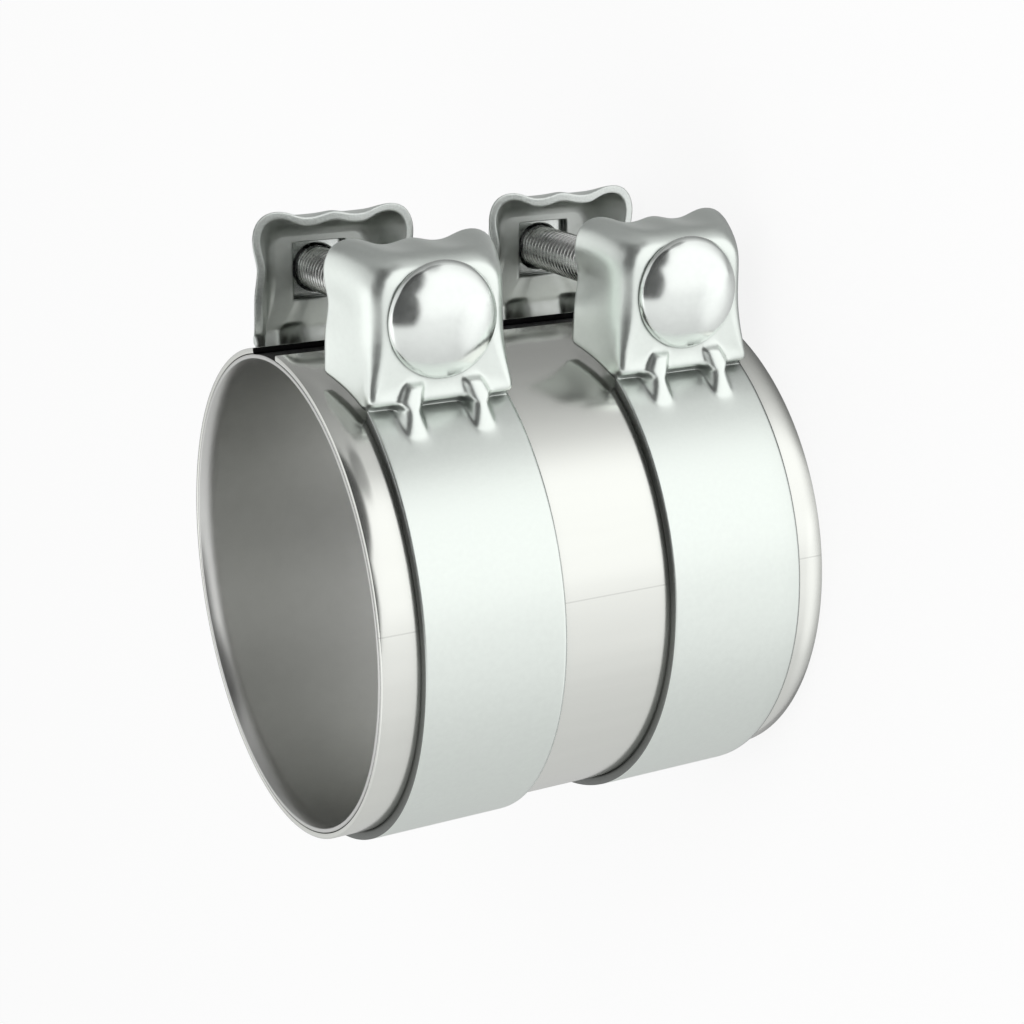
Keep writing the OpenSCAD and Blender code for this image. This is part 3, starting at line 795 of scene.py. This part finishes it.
def studio(tree, direction):
    """Brightness of the studio in the metal by direction."""
    def lobe(az, el, start, full, level, base=0.0):
        facing = along(tree, direction, toward(az, el))
        return spread_over(tree, facing, start, full, base, level, "SMOOTHSTEP")

    split = node(tree, "ShaderNodeSeparateXYZ")
    tree.links.new(direction, split.inputs["Vector"])
    angle = math_node(tree, "ARCTAN2", split.outputs["Y"], split.outputs["X"])
    ramp = node(tree, "ShaderNodeValToRGB")
    stops = ramp.color_ramp.elements
    ramp.color_ramp.interpolation = "CARDINAL"
    # the levels are halved so that the ramp stays within 1, and doubled after it
    for k, (az, level) in enumerate(STUDIO):
        place = az / 360 + 0.5
        stop = stops.new(place) if 0 < k < len(STUDIO) - 1 else stops[min(k, 1) * (len(stops) - 1)]
        stop.position = place
        stop.color = (level / 2, level / 2, level / 2, 1)
    tree.links.new(spread_over(tree, angle, -math.pi, math.pi, 0.0, 1.0), ramp.inputs["Fac"])
    room = math_node(tree, "MULTIPLY", ramp.outputs["Color"], 2.0)
    over = spread_over(tree, split.outputs["Z"], 0.5, 0.8, 0.0, 1.0, "SMOOTHSTEP")
    under = math_node(tree, "MULTIPLY", room, math_node(tree, "SUBTRACT", 1.0, over))
    pale = math_node(tree, "ADD", under, math_node(tree, "MULTIPLY", over, ABOVE))
    for patch in PALE_PATCHES:
        pale = math_node(tree, "ADD", pale, lobe(*patch))
    dark = lobe(*DARK_PATCHES[0])
    for patch in DARK_PATCHES[1:]:
        dark = math_node(tree, "MAXIMUM", dark, lobe(*patch))
    past = spread_over(tree, along(tree, direction, SKYLINE), 0.05, 0.14, 0.0, 0.90, "SMOOTHSTEP")
    dark = math_node(tree, "MULTIPLY", past, dark)
    pale = math_node(tree, "MULTIPLY", pale, math_node(tree, "SUBTRACT", 1.0, dark))
    # the side that the ears face is a little dimmer
    return math_node(tree, "MULTIPLY", pale, lobe(0, 25, 0.643, 0.866, 0.8, 1.0))


def glow(tree, kind, strength=None):
    """A white shader that gives light."""
    made = node(tree, kind)
    made.inputs["Color"].default_value = (1, 1, 1, 1)
    if strength is not None:
        tree.links.new(strength, made.inputs["Strength"])
    return made


def mixed(tree, fac, first, second):
    """Two shaders mixed by a number or a socket."""
    made = node(tree, "ShaderNodeMixShader")
    if isinstance(fac, float):
        made.inputs["Fac"].default_value = fac
    else:
        tree.links.new(fac, made.inputs["Fac"])
    tree.links.new(first, made.inputs[1])
    tree.links.new(second, made.inputs[2])
    return made.outputs["Shader"]


FLOOR_HALF = 3.0
sheet = bpy.data.meshes.new("floor")
floor_corners = [(x * FLOOR_HALF, y * FLOOR_HALF, 0) for x, y in ((-1, -1), (1, -1), (1, 1), (-1, 1))]
sheet.from_pydata(floor_corners, [], [(0, 1, 2, 3)])
floor = bpy.data.objects.new("floor", sheet)
bpy.context.scene.collection.objects.link(floor)

# The floor is pale and takes the object's shadow; the metal sees past it to the studio's own pale ground
floor_pale = bpy.data.materials.new("floor_pale")
floor_pale.use_nodes = True
floor_pale.cycles.emission_sampling = "NONE"
tree = floor_pale.node_tree
plain = tree.nodes["Principled BSDF"]
plain.inputs["Base Color"].default_value = (0.85, 0.85, 0.85, 1)
plain.inputs["Roughness"].default_value = 0.9
path = node(tree, "ShaderNodeLightPath")
white = glow(tree, "ShaderNodeEmission")
beyond = node(tree, "ShaderNodeBsdfTransparent")
veil = mixed(tree, 0.85, plain.outputs["BSDF"], white.outputs["Emission"])
surface = mixed(tree, path.outputs["Is Camera Ray"], plain.outputs["BSDF"], veil)
surface = mixed(tree, path.outputs["Is Glossy Ray"], surface, beyond.outputs["BSDF"])
tree.links.new(surface, tree.nodes["Material Output"].inputs["Surface"])
sheet.materials.append(floor_pale)

# The world is plain light for the floor and the shadows, the studio for the metal and white for the camera
world = bpy.data.worlds.new("studio")
bpy.context.scene.world = world
world.use_nodes = True
world.cycles.sampling_method = "NONE"
tree = world.node_tree
plain = tree.nodes["Background"]
plain.inputs["Color"].default_value = (1, 1, 1, 1)
plain.inputs["Strength"].default_value = 0.85
coord = node(tree, "ShaderNodeTexCoord")
seen = glow(tree, "ShaderNodeBackground", studio(tree, coord.outputs["Generated"]))
white = glow(tree, "ShaderNodeBackground")
path = node(tree, "ShaderNodeLightPath")
around = mixed(tree, path.outputs["Is Glossy Ray"], plain.outputs["Background"], seen.outputs["Background"])
around = mixed(tree, path.outputs["Is Camera Ray"], around, white.outputs["Background"])
tree.links.new(around, tree.nodes["World Output"].inputs["Surface"])


def area(name, place, size, power):
    """A soft lamp that looks at the object and is not seen in its metal."""
    data = bpy.data.lights.new(name, "AREA")
    data.energy = power
    data.shape = "SQUARE"
    data.size = size
    lamp = bpy.data.objects.new(name, data)
    bpy.context.scene.collection.objects.link(lamp)
    lamp.location = place
    lamp.rotation_euler = (Vector(CENTRE) - Vector(place)).to_track_quat("-Z", "Y").to_euler()
    lamp.visible_glossy = False


area("key", (0.8, -0.5, 0.7), 0.6, 3)
area("fill", (-0.6, -0.7, 0.8), 0.8, 2)

# The camera as fitted to the photo: its focal length in pixels, and the directions to its right, up and back
FOCAL, PICTURE = 1948.27, 1024
camera_data = bpy.data.cameras.new("camera")
camera_data.sensor_width = 36
camera_data.lens = FOCAL / PICTURE * camera_data.sensor_width
camera_data.clip_start = 0.01
camera = bpy.data.objects.new("camera", camera_data)
bpy.context.scene.collection.objects.link(camera)
to_right = (-0.001864, -0.470826, -0.882224, 0)
to_up = (0.953519, 0.265002, -0.143441, 0)
to_back = (0.301327, -0.841485, 0.448448, 0)
camera_place = (0.14276, -0.37056, 0.24493, 1)
camera.matrix_world = Matrix((to_right, to_up, to_back, camera_place)).transposed()
bpy.context.scene.camera = camera
bpy.context.scene.view_settings.view_transform = "Standard"
